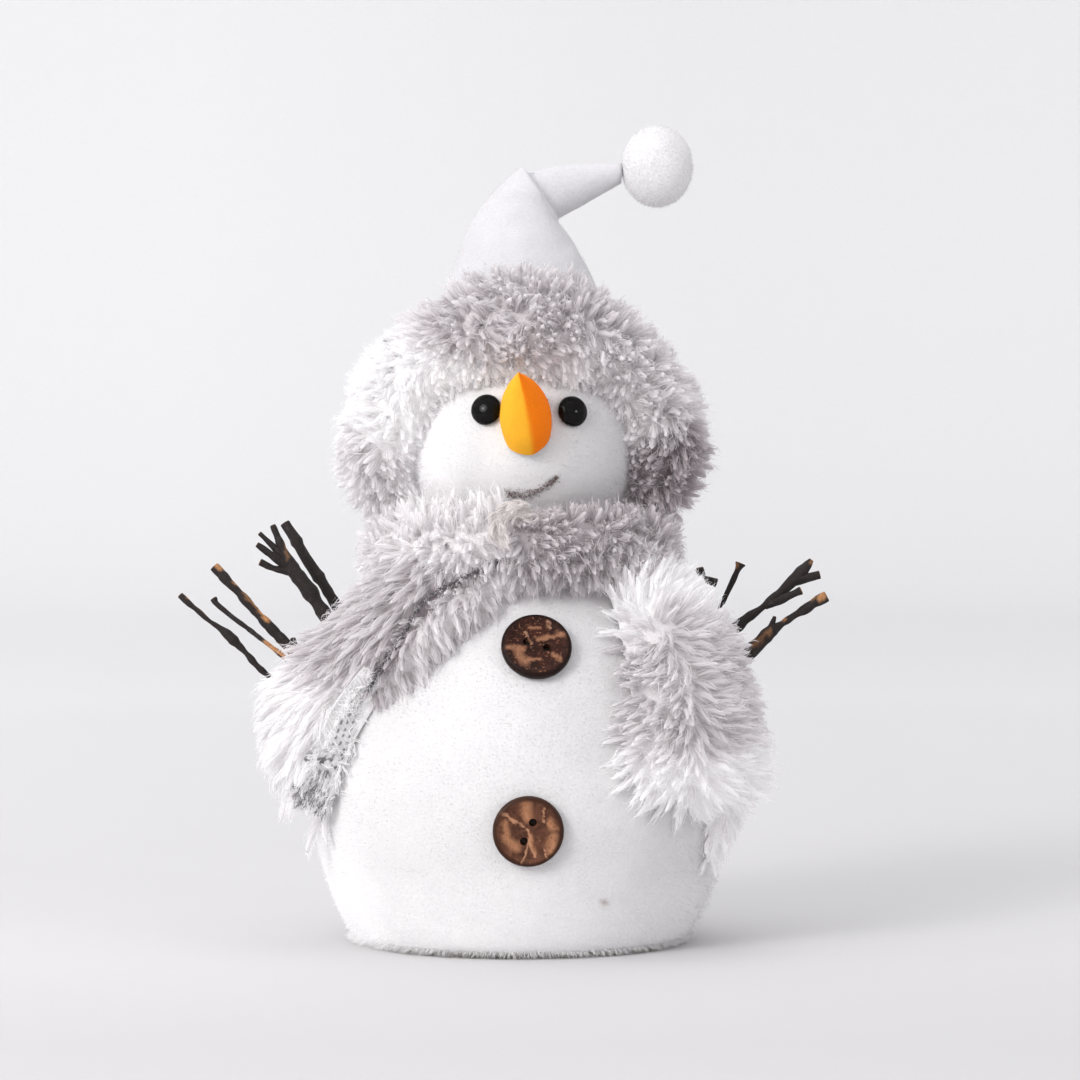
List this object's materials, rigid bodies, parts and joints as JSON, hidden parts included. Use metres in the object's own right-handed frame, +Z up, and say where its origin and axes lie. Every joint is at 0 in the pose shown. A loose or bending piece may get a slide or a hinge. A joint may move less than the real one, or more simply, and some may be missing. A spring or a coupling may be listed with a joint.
{
  "type": "snowman figurine",
  "caption": "A small standing snowman decoration of flocked foam, with a felt hat, fur trim and scarf, coconut-shell buttons and twig arms.",
  "frame": {"origin": "the middle of the flat base that the figurine stands on", "axes": "+Z points up, the face looks along -Y, and +X is to the right of someone who looks at the face"},
  "size_m": [0.1975, 0.1284, 0.2451],
  "materials": {
    "body": "white flocking on foam",
    "head": "white flocking on foam",
    "eyes": "black beads",
    "nose": "orange felt",
    "buttons": "polished coconut shell",
    "hat": "white felt",
    "pompom": "white plush",
    "fur": "white faux fur with grey patches",
    "twigs": "dark bark"
  },
  "bodies": {
    "root": {"body": "body", "head": "head", "eye_left": "eyes", "eye_right": "eyes", "nose": "nose", "button_upper": "buttons", "button_lower": "buttons", "hat": "hat", "pompom": "pompom", "hat_fur_trim": "fur", "scarf": "fur", "twig_left_1": "twigs", "twig_left_2": "twigs", "twig_left_3": "twigs", "twig_left_4": "twigs", "twig_left_5": "twigs", "twig_right_1": "twigs", "twig_right_2": "twigs", "twig_right_3": "twigs", "twig_right_4": "twigs"}
  },
  "joints": []
}
